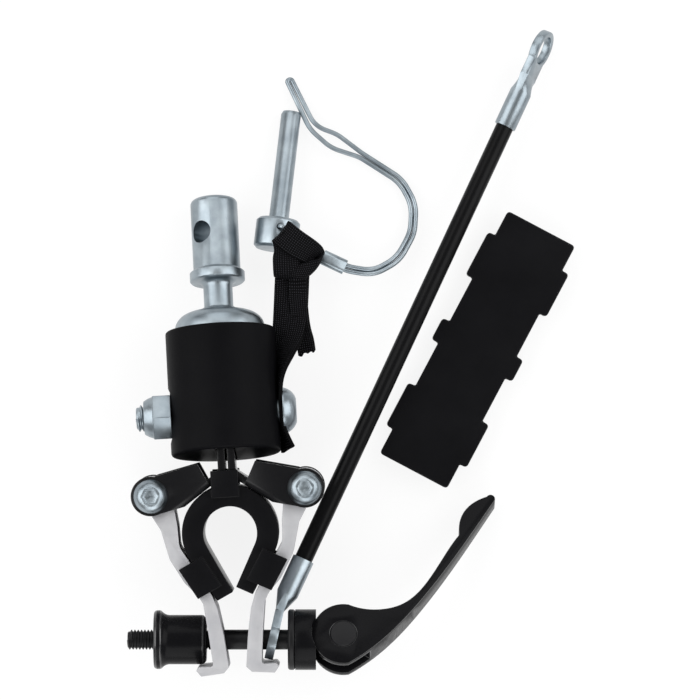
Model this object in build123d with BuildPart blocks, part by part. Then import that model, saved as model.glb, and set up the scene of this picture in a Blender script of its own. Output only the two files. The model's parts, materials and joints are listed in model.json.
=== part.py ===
"""Bike trailer hitch: frame clamp, swinging ball-stud housing, lock pin and safety cable. Millimetres."""
import os
from math import asin, cos, degrees, radians, sin, sqrt, tan

from build123d import *

os.makedirs("parts", exist_ok=True)

# Frame: origin at the centre of the clamped tube, X across, Y along the hitch to the stud, Z up.

# Clearances
running = 0.05

# Clamped tube and liner
tube_radius = 8.0
liner_wall = 6.4
leg_tip_wall = 5.4
leg_angle = 26.7
leg_length = 14.8
clamp_depth = 22.6
tab_thickness = 2.3
tab_reach = 4.4
tab_overlap = 3.6
long_tab = 10.4
short_tab = 8.2
liner_slip = 0.8

# Folded yokes
sheet = 2.2
web_slope = 35.0
web_start = -3.9
web_end = 5.7
fold_radius = 2.0
stem_gap = 0.8
stem_above_bolt = 8.0
stem_corner = 6.0
ear_radius = 5.9
pivot_x = 23.0
pivot_y = 12.3

# Pivot screws, M6 button heads
screw_radius = 3.0
screw_head_radius = 5.25
screw_head_height = 3.0
screw_socket_flats = 4.0
screw_nut_flats = 10.0
screw_nut_height = 5.0
rest_height = 20.5

# Housing and cross bolt, M8
housing_droop = 8.5
bolt_y = 35.5
housing_radius = 16.5
housing_below = 12.3
housing_above = 25.4
housing_rim = 1.0
housing_mouth_edge = 0.8
mouth_wall = 2.4
spot_face_x = 15.9
bolt_radius = 4.0
bolt_head_radius = 7.0
bolt_head_height = 4.0
bolt_socket_flats = 5.0
bolt_nut_flats = 13.0
bolt_nut_hex = 5.4
bolt_nut_height = 8.2
bolt_tail = 2.4
strap_thickness = 1.1

# Ball stud
ball_height = 24.0
ball_radius = 6.0
ball_shell = 1.35
stud_droop = 14.4
stud_tilt_room = 14.5
neck_radius = 4.4
flange_start = 16.4
flange_radius = 8.3
flange_height = 3.2
head_radius = 7.1
head_end = 42.2
cross_hole_radius = 3.4
cross_hole_place = 31.0
cross_hole_turn = 38.0
cap_wall = 1.2
cap_roof = 4.8
cap_skirt = 2.0

# Arms
arm_foot_y = -40.0
arm_gap = 0.48
arm_hip_along = 1.53
arm_knee_along = 13.56
slot_width = 7.0
slot_height = 12.0

# Quick release
skewer_x = 0.9
skewer_y = -32.4
skewer_lean = 3.2
lever_roll = 22.5
rod_radius = 3.0
rod_left = -33.8
hub_place = 31.0
hub_radius = 9.4
lever_thickness = 11.0
lever_tip_thickness = 6.6
fork_gap = 6.6
lever_pin_radius = 4.0
saddle_radius = 9.1
saddle_start = 16.6
saddle_end = 22.8
washer_start = 14.4
nut_nose = -10.0
nut_length = 15.8
nut_flare_radius = 8.8
nut_body_radius = 7.4

# Safety cable
eye_place = 9.9
eye_radius = 6.0
eye_hole_radius = 4.3
eye_thickness = 2.6
eye_neck = 9.0
eye_taper = 5.5
crimp_length = 11.5
crimp_radius = 3.3
sheath_radius = 2.7
cable_length = 196.0
cable_heading = 61.8
cable_fall = 14.0
eye_heading = 74.0
upper_eye_turn = 20.0

# Lock pin and its wire
pin_x = 18.6
pin_y = 88.6
pin_lean = 9.8
pin_fall = 8.4
pin_roll = 6.0
pin_lift = 8.6
pin_radius = 3.0
pin_length = 33.3
pin_tip_chamfer = 0.5
collar_radius = 6.65
collar_length = 9.2
wire_radius = 0.72
wire_gap = 1.5
wire_hole_radius = 0.95
wire_hole_place = 1.5
ferrule_length = 9.4
ferrule_radius = 2.3

# Lanyard
strap_width = 10.5
knot_width = 13.0
knot_height = 16.0
knot_depth = 14.0
knot_room = 0.3

# Spare liner
spare_length = 83.0
spare_thickness = 3.0
spare_height = 7.4
spare_heading = 58.9
spare_x = 77.2
spare_y = 50.4
spare_long_tab = 14.7
spare_short_tab = 7.4
spare_tab_pitch = 25.8

floor_z = -rest_height
half_depth = clamp_depth / 2
liner_half = half_depth + 0.2
ear_inner = half_depth + 0.2
ear_outer = ear_inner + sheet
liner_radius = tube_radius + liner_wall


def turned(angle, length=1.0):
    """A point at an angle from +X, in the XY plane."""
    return length * cos(radians(angle)), length * sin(radians(angle))


def save(builder, name):
    builder.part.label = name
    export_step(builder.part, f"parts/{name}.step")


def hex_across(flats):
    return flats / sqrt(3)


# Planes that carry the tilted pieces
droop = radians(housing_droop)
housing_plane = Plane(origin=(0, bolt_y, 0), x_dir=(1, 0, 0), z_dir=(0, sin(droop), cos(droop)))
housing_axis = Axis(housing_plane.origin, housing_plane.y_dir)
fall = radians(stud_droop)
ball_centre = housing_plane.from_local_coords(Vector(0, ball_height, 0))
stud_plane = Plane(origin=ball_centre, x_dir=(1, 0, 0), z_dir=(0, sin(fall), cos(fall)))
stud_axis = Axis(stud_plane.origin, stud_plane.y_dir)

lean = radians(skewer_lean)
rod_way = Vector(cos(lean), -sin(lean), 0)
rod_side = Vector(sin(lean), cos(lean), 0)
skewer_origin = Vector(skewer_x, skewer_y, 0)
roll = radians(lever_roll)
lever_normal = rod_side * sin(roll) + Vector(0, 0, 1) * cos(roll)
skewer_plane = Plane(origin=skewer_origin, x_dir=rod_way, z_dir=lever_normal)
skewer_axis = Axis(skewer_origin, rod_way)
hub_plane = Plane(origin=skewer_origin + rod_way * hub_place, x_dir=rod_way, z_dir=lever_normal)

pin_up = radians(pin_fall)
pin_turn = radians(pin_lean)
pin_way = Vector(sin(pin_turn) * cos(pin_up), cos(pin_turn) * cos(pin_up), -sin(pin_up))
pin_flat = Vector(cos(pin_turn), -sin(pin_turn), 0)
pin_tilt = radians(pin_roll)
pin_across = pin_flat * cos(pin_tilt) - pin_flat.cross(pin_way) * sin(pin_tilt)
pin_origin = Vector(pin_x, pin_y, floor_z + pin_lift)
pin_plane = Plane(origin=pin_origin, x_dir=pin_across, z_dir=pin_across.cross(pin_way))


# Clamp liner: a ring with two legs, and tabs over the arms and the yokes on both faces
leg_out = turned(-leg_angle)
leg_way = (-sin(radians(leg_angle)), -cos(radians(leg_angle)))


def leg_point(side, along, out):
    """A point on one leg of the liner, out from its inner edge; side is 1 for the right leg."""
    x = leg_out[0] * (tube_radius + out) + leg_way[0] * along
    y = leg_out[1] * (tube_radius + out) + leg_way[1] * along
    return side * x, y


def leg_outer(along):
    """The leg's thickness, which tapers to its tip."""
    return liner_wall + (leg_tip_wall - liner_wall) * along / leg_length


right_leg = leg_length - liner_slip
left_leg = leg_length + liner_slip
with BuildPart() as clamp_liner:
    with BuildSketch() as ring_section:
        with BuildLine():
            Polyline(leg_point(1, 0, liner_wall), leg_point(1, right_leg, leg_outer(right_leg)),
                     leg_point(1, right_leg, 0), leg_point(1, 0, 0))
            CenterArc((0, 0), tube_radius, -leg_angle, 180 + 2 * leg_angle)
            Polyline(leg_point(-1, 0, 0), leg_point(-1, left_leg, 0),
                     leg_point(-1, left_leg, leg_outer(left_leg)), leg_point(-1, 0, liner_wall))
            CenterArc((0, 0), liner_radius, -leg_angle, 180 + 2 * leg_angle)
        make_face()
    extrude(amount=liner_half, both=True)
    for face_z in (liner_half, -liner_half - tab_thickness):
        with BuildSketch(Plane.XY.offset(face_z)):
            for side, start in ((1, 1.0 - liner_slip), (-1, 1.0 + liner_slip)):
                with BuildLine():
                    Polyline(leg_point(side, start, leg_outer(start) - tab_overlap),
                             leg_point(side, start, leg_outer(start) + tab_reach),
                             leg_point(side, start + long_tab, leg_outer(start + long_tab) + tab_reach),
                             leg_point(side, start + long_tab, leg_outer(start + long_tab) - tab_overlap),
                             close=True)
                make_face()
            with Locations((-liner_slip, liner_radius + (tab_reach - tab_overlap) / 2)):
                Rectangle(short_tab, tab_reach + tab_overlap)
        extrude(amount=tab_thickness)
save(clamp_liner, "clamp_liner")


# Yokes: stem, sloping web and two ears, folded from one sheet
slope = radians(web_slope)
web_normal = Vector(sin(slope), cos(slope), 0)
web_way = Vector(cos(slope), -sin(slope), 0)
web_inner = liner_radius + 0.15
web_outer = web_inner + sheet


def web_point(distance, along):
    point = web_normal * distance + web_way * along
    return point.X, point.Y


def stem_meets(x, distance):
    """Where a stem face at x meets the web face at a distance from the origin."""
    return x, (distance - x * sin(slope)) / cos(slope)


stem_inner_x = stem_gap / 2
stem_outer_x = stem_inner_x + sheet
stem_top = bolt_y + stem_above_bolt
ear_corner = 21.2


def make_yoke():
    with BuildPart() as yoke:
        with BuildSketch() as strip:
            with BuildLine():
                Polyline((stem_inner_x, stem_top), (stem_outer_x, stem_top),
                         stem_meets(stem_outer_x, web_outer), web_point(web_outer, web_end),
                         web_point(web_inner, web_end), stem_meets(stem_inner_x, web_inner), close=True)
            make_face()
            bend = strip.vertices().sort_by_distance((*stem_meets(stem_outer_x, web_outer), 0))[0]
            fillet(bend, fold_radius)
            back = strip.vertices().sort_by_distance((*stem_meets(stem_inner_x, web_inner), 0))[0]
            fillet(back, fold_radius + sheet)
        extrude(amount=half_depth - 0.1, both=True)
        with BuildSketch():
            with BuildLine():
                Polyline(web_point(web_inner, web_start), web_point(web_outer, web_start),
                         web_point(web_outer, web_end), web_point(web_inner, web_end), close=True)
            make_face()
        extrude(amount=ear_outer, both=True)
        for ear_z in (ear_inner, -ear_outer):
            with BuildSketch(Plane.XY.offset(ear_z)) as ear:
                with BuildLine():
                    Polyline(web_point(web_inner, web_start), (8.6, ear_corner),
                             (pivot_x - 1.5, pivot_y + ear_radius), (pivot_x, pivot_y - ear_radius),
                             web_point(web_inner, web_end), close=True)
                make_face()
                with Locations((pivot_x, pivot_y)):
                    Circle(ear_radius)
                    Circle(screw_radius + running, mode=Mode.SUBTRACT)
            extrude(amount=sheet)
        folds = yoke.edges().filter_by(lambda e: abs(abs(e.center().Z) - ear_outer) < 0.01)
        folds = folds.filter_by(lambda e: abs(e.center().dot(web_normal) - web_inner) < 0.01)
        fillet(folds, fold_radius)
        corners = yoke.edges().filter_by(Axis.X).filter_by(lambda e: abs(e.center().Y - stem_top) < 0.01)
        fillet(corners, stem_corner)
        with BuildSketch(Plane.YZ):
            with Locations((bolt_y, 0)):
                Circle(bolt_radius + running)
        extrude(amount=stem_outer_x + 1, mode=Mode.SUBTRACT)
    return yoke


yoke_right = make_yoke()
with BuildPart() as yoke_left:
    add(yoke_right.part.mirror(Plane.YZ))
save(yoke_right, "yoke_right")
save(yoke_left, "yoke_left")


# Arms: extruded aluminium with a knuckle, a bent leg, a toe and a slot for the skewer
def make_arm():
    arm_side = (liner_radius + 2 * arm_gap, -3.3)
    arm_hip = leg_point(1, arm_hip_along, leg_outer(arm_hip_along) + arm_gap)
    arm_knee = leg_point(1, arm_knee_along, leg_outer(arm_knee_along) + arm_gap)
    with BuildPart() as arm:
        with BuildSketch() as profile:
            with BuildLine():
                Polyline((liner_radius + 2.2, 10.6), (liner_radius + 1.2, 3.0), arm_side, arm_hip, arm_knee,
                         (5.0, -22.4),
                         (3.6, -30.5), (2.6, arm_foot_y), (4.2, arm_foot_y - 1.6), (11.0, arm_foot_y - 2.2),
                         (12.4, arm_foot_y - 0.4), (11.6, arm_foot_y + 0.6), (7.2, arm_foot_y + 0.6),
                         (8.2, -29.0), (9.2, -20.7), (10.6, -18.2), (14.3, -14.2), (18.4, -7.0),
                         (19.6, -2.0), (20.6, 2.0), (23.6, 7.2), close=True)
            make_face()
            fillet(profile.vertices().sort_by_distance((11.6, arm_foot_y + 0.6, 0))[0], 0.6)
            fillet(profile.vertices().sort_by_distance((7.2, arm_foot_y + 0.6, 0))[0], 0.8)
            for place, radius in (((18.4, -7.0), 4.0), ((10.6, -18.2), 3.0), ((20.6, 2.0), 4.0),
                                  (arm_side, 5.0), (arm_knee, 3.0), ((5.0, -22.4), 4.0)):
                fillet(profile.vertices().sort_by_distance((*place, 0))[0], radius)
            with Locations((pivot_x, pivot_y)):
                Circle(ear_radius - 0.3)
                Circle(screw_radius + running, mode=Mode.SUBTRACT)
            with Locations((pivot_x - 3.6, pivot_y - 1.4)):
                Rectangle(4.8, 6.0)
            with Locations((pivot_x, pivot_y)):
                Circle(screw_radius + running, mode=Mode.SUBTRACT)
        extrude(amount=half_depth, both=True)
        with BuildSketch(Plane(origin=(0, skewer_y, 0), x_dir=(0, 1, 0), z_dir=(1, 0, 0))):
            SlotOverall(slot_height, slot_width)
        extrude(amount=pivot_x, mode=Mode.SUBTRACT)
    return arm


arm_right = make_arm()
with BuildPart() as arm_left:
    add(arm_right.part.mirror(Plane.YZ))
save(arm_right, "arm_right")
save(arm_left, "arm_left")


# Pivot screws and their nuts
for side_name, side in (("right", 1), ("left", -1)):
    with BuildPart() as pivot_screw:
        with BuildSketch(Plane(origin=(side * pivot_x, pivot_y, 0), x_dir=(1, 0, 0), z_dir=(0, -1, 0))):
            with BuildLine():
                Polyline((0, floor_z), (screw_radius - 0.5, floor_z), (screw_radius, floor_z + 0.5),
                         (screw_radius, ear_outer), (screw_head_radius, ear_outer))
                ThreePointArc((screw_head_radius, ear_outer),
                              (screw_head_radius - 0.9, ear_outer + 0.62 * screw_head_height),
                              (screw_socket_flats * 0.75, ear_outer + screw_head_height))
                Polyline((screw_socket_flats * 0.75, ear_outer + screw_head_height),
                         (0, ear_outer + screw_head_height), (0, floor_z))
            make_face()
        revolve(axis=Axis((side * pivot_x, pivot_y, 0), (0, 0, 1)))
        with BuildSketch(Plane.XY.offset(ear_outer + screw_head_height)):
            with Locations((side * pivot_x, pivot_y)):
                RegularPolygon(hex_across(screw_socket_flats), 6)
        extrude(amount=-0.6 * screw_head_height, mode=Mode.SUBTRACT)
    save(pivot_screw, f"pivot_screw_{side_name}")
    with BuildPart() as pivot_nut:
        with BuildSketch(Plane.XY.offset(-ear_outer - screw_nut_height)):
            with Locations((side * pivot_x, pivot_y)):
                RegularPolygon(hex_across(screw_nut_flats), 6)
                Circle(screw_radius, mode=Mode.SUBTRACT)
        extrude(amount=screw_nut_height)
        with BuildSketch(Plane.XY.offset(-ear_outer - screw_nut_height)):
            with Locations((side * pivot_x, pivot_y)):
                Circle(hex_across(screw_nut_flats))
                Circle(screw_nut_flats / 2, mode=Mode.SUBTRACT)
        extrude(amount=0.6, taper=30, mode=Mode.SUBTRACT)
    save(pivot_nut, f"pivot_nut_{side_name}")


# Housing: a turned cylinder with the ball socket, the cap's groove and a pocket for the stems
socket_radius = ball_radius + running + ball_shell + running
mouth_radius = housing_radius - mouth_wall
cap_radius = mouth_radius - 0.4
cup_radius = cap_radius - cap_wall - 1.3
ring_low = ball_height - 1.5
cup_top = ball_height + 0.8
ring_radius = socket_radius + 2.0
groove_floor = ball_height - cap_skirt - cap_radius * sin(radians(stud_tilt_room)) - 0.8
pocket_half = half_depth + housing_below * tan(droop) + 0.5
pocket_top = stem_above_bolt + 1.5
with BuildPart() as housing:
    with BuildSketch(housing_plane):
        with BuildLine():
            Polyline((0, -housing_below), (housing_radius, -housing_below), (housing_radius, housing_above),
                     (mouth_radius, housing_above), (mouth_radius, groove_floor), (cup_radius, groove_floor),
                     (cup_radius, cup_top), (ring_radius, cup_top), (ring_radius, ring_low),
                     (0, ring_low), close=True)
        make_face()
    revolve(axis=housing_axis)
    rims = housing.edges().filter_by(GeomType.CIRCLE)
    rims = rims.filter_by(lambda e: abs(e.radius - housing_radius) < 0.01).sort_by(housing_axis)
    fillet(rims[0], housing_rim)
    fillet(rims[-1], housing_mouth_edge)
    with Locations(stud_plane.origin):
        Sphere(socket_radius, mode=Mode.SUBTRACT)
    with BuildSketch(Plane(origin=housing_plane.from_local_coords(Vector(0, -housing_below, 0)),
                           x_dir=(1, 0, 0), z_dir=housing_plane.y_dir)):
        Rectangle(2 * stem_outer_x + 0.8, 2 * pocket_half)
    extrude(amount=housing_below + pocket_top, mode=Mode.SUBTRACT)
    with BuildSketch(Plane.YZ):
        with Locations((bolt_y, 0)):
            Circle(bolt_radius + running)
    extrude(amount=2 * housing_radius, both=True, mode=Mode.SUBTRACT)
    with BuildSketch(Plane.YZ.offset(-spot_face_x)):
        with Locations((bolt_y, 0)):
            Circle(bolt_nut_flats * 0.65)
    extrude(amount=-housing_radius, mode=Mode.SUBTRACT)
save(housing, "housing")

with BuildPart() as retaining_ring:
    with BuildSketch(housing_plane):
        with BuildLine():
            Polyline((socket_radius - 2.4, ring_low), (ring_radius, ring_low), (ring_radius, cup_top),
                     (ring_radius - 1.0, ball_height + 2.2), (socket_radius - 2.4, ball_height + 2.2),
                     close=True)
        make_face()
    revolve(axis=housing_axis)
    with Locations(stud_plane.origin):
        Sphere(socket_radius, mode=Mode.SUBTRACT)
save(retaining_ring, "retaining_ring")

with BuildPart() as ball_liner:
    with BuildSketch(stud_plane):
        with BuildLine():
            shell_in = ball_radius + running
            shell_out = shell_in + ball_shell
            shell_outside = CenterArc((0, 0), shell_out, -65, 82)
            shell_inside = CenterArc((0, 0), shell_in, -65, 82)
            Line(shell_outside @ 0, shell_inside @ 0)
            Line(shell_outside @ 1, shell_inside @ 1)
        make_face()
    revolve(axis=stud_axis)
save(ball_liner, "ball_liner")

with BuildPart() as dome_cap:
    with BuildSketch(stud_plane) as cap_section:
        with BuildLine():
            inner = cap_radius - cap_wall
            skirt_low_out = sqrt(cap_radius**2 - cap_skirt**2)
            skirt_low_in = sqrt(inner**2 - cap_skirt**2)
            shoulder = 3.0
            shoulder_out = sqrt(cap_radius**2 - shoulder**2)
            shoulder_in = sqrt(inner**2 - shoulder**2)
            ThreePointArc((skirt_low_out, -cap_skirt), (cap_radius, 0), (shoulder_out, shoulder))
            Line((skirt_low_out, -cap_skirt), (skirt_low_in, -cap_skirt))
            ThreePointArc((skirt_low_in, -cap_skirt), (inner, 0), (shoulder_in, shoulder))
            Polyline((shoulder_in, shoulder), (9.0, cap_roof), (neck_radius + running, cap_roof))
            Polyline((neck_radius + running, cap_roof), (neck_radius + running, cap_roof + 3.2),
                     (neck_radius + 0.9, cap_roof + 3.2))
            ThreePointArc((neck_radius + 0.9, cap_roof + 3.2), (neck_radius + 1.9, cap_roof + 1.9),
                          (neck_radius + 4.2, cap_roof + cap_wall + 0.2))
            ThreePointArc((neck_radius + 4.2, cap_roof + cap_wall + 0.2), (11.7, cap_roof + 0.5),
                          (shoulder_out, shoulder))
        make_face()
    revolve(axis=stud_axis)
save(dome_cap, "dome_cap")

with BuildPart() as ball_stud:
    with BuildSketch(stud_plane):
        with BuildLine():
            neck_meets = sqrt(ball_radius**2 - neck_radius**2)
            flange_end = flange_start + flange_height
            CenterArc((0, 0), ball_radius, -90, 90 + degrees(asin(neck_meets / ball_radius)))
            Polyline((neck_radius, neck_meets), (neck_radius, flange_start - 1.6))
            ThreePointArc((neck_radius, flange_start - 1.6), (neck_radius + 0.47, flange_start - 0.47),
                          (neck_radius + 1.6, flange_start))
            Polyline((neck_radius + 1.6, flange_start), (flange_radius - 0.4, flange_start),
                     (flange_radius, flange_start + 0.4), (flange_radius, flange_end - 0.4),
                     (flange_radius - 0.4, flange_end), (head_radius + 0.5, flange_end))
            Polyline((head_radius + 0.5, flange_end), (head_radius, flange_end + 0.6),
                     (head_radius, head_end - 1.6))
            ThreePointArc((head_radius, head_end - 1.6), (head_radius - 0.47, head_end - 0.47),
                          (head_radius - 1.6, head_end))
            Polyline((head_radius - 1.6, head_end), (0, head_end), (0, -ball_radius))
        make_face()
    revolve(axis=stud_axis)
    hole_turn = radians(cross_hole_turn)
    hole_way = stud_plane.z_dir * cos(hole_turn) - stud_plane.x_dir * sin(hole_turn)
    hole_origin = stud_plane.from_local_coords(Vector(0, cross_hole_place, 0))
    with BuildSketch(Plane(origin=hole_origin, x_dir=stud_plane.y_dir, z_dir=hole_way)):
        Circle(cross_hole_radius)
    extrude(amount=2 * head_radius, both=True, mode=Mode.SUBTRACT)
save(ball_stud, "ball_stud")


# Cross bolt through the housing and both stems, with the strap under its head
strap_face = housing_radius + 0.02
head_seat = strap_face + strap_thickness + 0.02
nut_end = -spot_face_x - bolt_nut_height
bolt_end = nut_end - bolt_tail
bolt_axis = Axis((0, bolt_y, 0), (1, 0, 0))
bolt_plane = Plane(origin=(0, bolt_y, 0), x_dir=(1, 0, 0), z_dir=(0, 0, 1))
with BuildPart() as cross_bolt:
    with BuildSketch(bolt_plane):
        with BuildLine():
            Polyline((head_seat + bolt_head_height, bolt_socket_flats * 0.7),
                     (head_seat + bolt_head_height, 0),
                     (bolt_end, 0), (bolt_end, bolt_radius - 0.9), (bolt_end + 0.9, bolt_radius),
                     (head_seat, bolt_radius), (head_seat, bolt_head_radius))
            ThreePointArc((head_seat, bolt_head_radius),
                          (head_seat + 0.66 * bolt_head_height, bolt_head_radius - 1.3),
                          (head_seat + bolt_head_height, bolt_socket_flats * 0.7))
        make_face()
    revolve(axis=bolt_axis)
    with BuildSketch(Plane.YZ.offset(head_seat + bolt_head_height)):
        with Locations((bolt_y, 0)):
            RegularPolygon(hex_across(bolt_socket_flats), 6)
    extrude(amount=-0.6 * bolt_head_height, mode=Mode.SUBTRACT)
save(cross_bolt, "cross_bolt")

ring_place = nut_end + 0.6
ring_thickness = 1.8
lock_radius = bolt_radius + 1.2
with BuildPart() as cross_nut:
    with BuildSketch(Plane.YZ.offset(-spot_face_x)):
        with Locations((bolt_y, 0)):
            RegularPolygon(hex_across(bolt_nut_flats), 6, rotation=30)
    extrude(amount=-bolt_nut_hex)
    with BuildSketch(bolt_plane):
        with BuildLine():
            Polyline((-spot_face_x - bolt_nut_hex, 0),
                     (-spot_face_x - bolt_nut_hex, bolt_nut_flats / 2 - 0.2),
                     (nut_end + 1.4, bolt_nut_flats / 2 - 0.7), (nut_end, lock_radius - 0.2), (nut_end, 0),
                     close=True)
        make_face()
    revolve(axis=bolt_axis)
    with BuildSketch(Plane.YZ.offset(-spot_face_x)):
        with Locations((bolt_y, 0)):
            Circle(bolt_radius)
    extrude(amount=-bolt_nut_height, mode=Mode.SUBTRACT)
    with BuildSketch(Plane.YZ.offset(ring_place)):
        with Locations((bolt_y, 0)):
            Circle(lock_radius)
    extrude(amount=ring_thickness, mode=Mode.SUBTRACT)
save(cross_nut, "cross_nut")

with BuildPart() as lock_ring:
    with BuildSketch(Plane.YZ.offset(ring_place)):
        with Locations((bolt_y, 0)):
            Circle(lock_radius)
            Circle(bolt_radius, mode=Mode.SUBTRACT)
    extrude(amount=ring_thickness)
save(lock_ring, "lock_ring")


# Quick release: rod, lever and its pin, cam saddle, washer and cone nut
rod_end = hub_place + lever_pin_radius * 0.5
with BuildPart() as qr_rod:
    with BuildSketch(skewer_plane):
        with BuildLine():
            Polyline((rod_left, 0), (rod_left, rod_radius - 0.6), (rod_left + 0.6, rod_radius),
                     (rod_end, rod_radius), (rod_end, 0), close=True)
        make_face()
    revolve(axis=skewer_axis)
save(qr_rod, "qr_rod")

with BuildPart() as lever_pin:
    with BuildSketch(hub_plane):
        Circle(lever_pin_radius)
    extrude(amount=lever_thickness / 2 + 0.4, both=True)
    ends = lever_pin.edges().filter_by(GeomType.CIRCLE)
    chamfer(ends, 0.3)
    with BuildSketch(Plane(origin=skewer_origin, x_dir=rod_side, z_dir=rod_way)):
        Circle(rod_radius)
    extrude(amount=rod_end, mode=Mode.SUBTRACT)
save(lever_pin, "lever_pin")

hub_edge = sqrt(hub_radius**2 - 1.6**2)
with BuildPart() as qr_lever:
    with BuildSketch(hub_plane) as outline:
        with BuildLine():
            upper = Spline((1.6, hub_edge), (10.3, 7.7), (17.4, 9.4), (26.6, 18.9), (34.9, 32.0))
            thumb = Spline(upper @ 1, (35.9, 38.6), (43.4, 44.6))
            tip = ThreePointArc(thumb @ 1, (45.4, 44.9), (45.6, 43.0))
            lower = Spline(tip @ 1, (38.0, 31.3), (24.2, 11.8), (10.6, -2.9), (1.6, -hub_edge))
            ThreePointArc(lower @ 1, (-hub_radius, 0), upper @ 0)
        make_face()
    extrude(amount=lever_thickness / 2, both=True)
    taper_start = 14.0
    for side in (1, -1):
        with BuildSketch(Plane(origin=hub_plane.origin, x_dir=hub_plane.from_local_coords(Vector(1, 1, 0))
                               - hub_plane.origin, z_dir=hub_plane.from_local_coords(Vector(1, -1, 0))
                               - hub_plane.origin)):
            with BuildLine():
                Polyline((taper_start, side * lever_thickness / 2), (70, side * lever_tip_thickness / 2),
                         (70, side * lever_thickness), (taper_start, side * lever_thickness), close=True)
            make_face()
        extrude(amount=40, both=True, mode=Mode.SUBTRACT)
    with BuildSketch(hub_plane):
        Circle(lever_pin_radius + running)
    extrude(amount=lever_thickness, both=True, mode=Mode.SUBTRACT)
    with BuildSketch(hub_plane):
        Circle(lever_pin_radius + 1.0)
        with BuildLine():
            Polyline((0, 0), turned(140, 17), (-17, -2), (-13, -17), (11, -17), turned(-31, 17), close=True)
        make_face()
    extrude(amount=fork_gap / 2, both=True, mode=Mode.SUBTRACT)
save(qr_lever, "qr_lever")

with BuildPart() as cam_saddle:
    with BuildSketch(Plane(origin=skewer_origin + rod_way * saddle_start, x_dir=rod_side, z_dir=rod_way)):
        Circle(saddle_radius)
        Circle(rod_radius + 0.2, mode=Mode.SUBTRACT)
    extrude(amount=saddle_end - saddle_start)
    with BuildSketch(hub_plane):
        Circle(hub_radius + 0.1)
    extrude(amount=2 * saddle_radius, both=True, mode=Mode.SUBTRACT)
save(cam_saddle, "cam_saddle")

with BuildPart() as flat_washer:
    with BuildSketch(Plane(origin=skewer_origin + rod_way * washer_start, x_dir=rod_side, z_dir=rod_way)):
        Circle(saddle_radius)
        Circle(rod_radius + 0.2, mode=Mode.SUBTRACT)
    extrude(amount=saddle_start - washer_start)
    rims = flat_washer.edges().filter_by(GeomType.CIRCLE)
    chamfer(rims.filter_by(lambda e: abs(e.radius - saddle_radius) < 0.01), 0.5)
save(flat_washer, "flat_washer")

with BuildPart() as qr_nut:
    with BuildSketch(skewer_plane):
        with BuildLine():
            nut_left = nut_nose - nut_length
            Polyline((nut_left + nut_length, rod_radius), (nut_left, rod_radius),
                     (nut_left, nut_flare_radius - 0.6),
                     (nut_left + 0.6, nut_flare_radius), (nut_left + 2.2, nut_flare_radius))
            ThreePointArc((nut_left + 2.2, nut_flare_radius), (nut_left + 3.4, nut_body_radius + 0.35),
                          (nut_left + 5.2, nut_body_radius))
            Polyline((nut_left + 5.2, nut_body_radius), (nut_nose - 1.0, nut_body_radius),
                     (nut_nose, nut_body_radius - 1.0), (nut_nose, rod_radius))
        make_face()
    revolve(axis=skewer_axis)
save(qr_nut, "qr_nut")


# Safety cable: a straight sheath between two crimped eyes
eye_centre = skewer_origin + rod_way * eye_place
cable_drop = asin(cable_fall / cable_length)
heading = radians(cable_heading)
cable_way = Vector(cos(heading) * cos(cable_drop), sin(heading) * cos(cable_drop), -sin(cable_drop))
flat_heading = radians(eye_heading)
flat_way = Vector(cos(flat_heading) * cos(cable_drop), sin(flat_heading) * cos(cable_drop), -sin(cable_drop))
flat_normal = flat_way.cross(Vector(0, 0, 1)).normalized()
lower_bend = eye_centre + flat_way * eye_neck
upper_eye = lower_bend + cable_way * (cable_length - eye_neck)
cable_side = cable_way.cross(Vector(0, 0, 1)).normalized()
cable_top = cable_side.cross(cable_way)
eye_turn = radians(upper_eye_turn)
upper_normal = cable_side * cos(eye_turn) + cable_top * sin(eye_turn)


def make_eye(centre, normal, way, crimp_start, crimp_way):
    """A flattened eye on a crimped tube; the tube starts where the flat part ends."""
    flat_plane = Plane(origin=centre, x_dir=way, z_dir=normal)
    neck_width = 1.55 * eye_radius
    with BuildPart() as eye:
        with BuildSketch(flat_plane):
            Circle(eye_radius)
            with Locations((eye_neck / 2, 0)):
                Rectangle(eye_neck, neck_width)
            Circle(eye_hole_radius, mode=Mode.SUBTRACT)
        extrude(amount=eye_thickness / 2, both=True)
        with BuildSketch(Plane(origin=crimp_start, x_dir=crimp_way.cross(normal), z_dir=crimp_way)):
            Rectangle(neck_width, eye_thickness)
        with BuildSketch(Plane(origin=crimp_start + crimp_way * eye_taper, x_dir=crimp_way.cross(normal),
                               z_dir=crimp_way)):
            Circle(crimp_radius)
        loft()
        with BuildSketch(Plane(origin=crimp_start + crimp_way * eye_taper, x_dir=crimp_way.cross(normal),
                               z_dir=crimp_way)):
            Circle(crimp_radius)
        extrude(amount=crimp_length)
    return eye


cable_eye_lower = make_eye(eye_centre, flat_normal, flat_way, lower_bend, cable_way)
save(cable_eye_lower, "cable_eye_lower")
cable_eye_upper = make_eye(upper_eye, upper_normal, cable_way * -1, upper_eye - cable_way * eye_neck,
                           cable_way * -1)
save(cable_eye_upper, "cable_eye_upper")

sheath_start = lower_bend + cable_way * (eye_taper + crimp_length)
sheath_length = cable_length - 2 * (eye_neck + eye_taper + crimp_length)
with BuildPart() as cable_sheath:
    with BuildSketch(Plane(origin=sheath_start, x_dir=cable_side, z_dir=cable_way)):
        Circle(sheath_radius)
    extrude(amount=sheath_length)
save(cable_sheath, "cable_sheath")
print("cable sheath length", round(sheath_length, 1))


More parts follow.
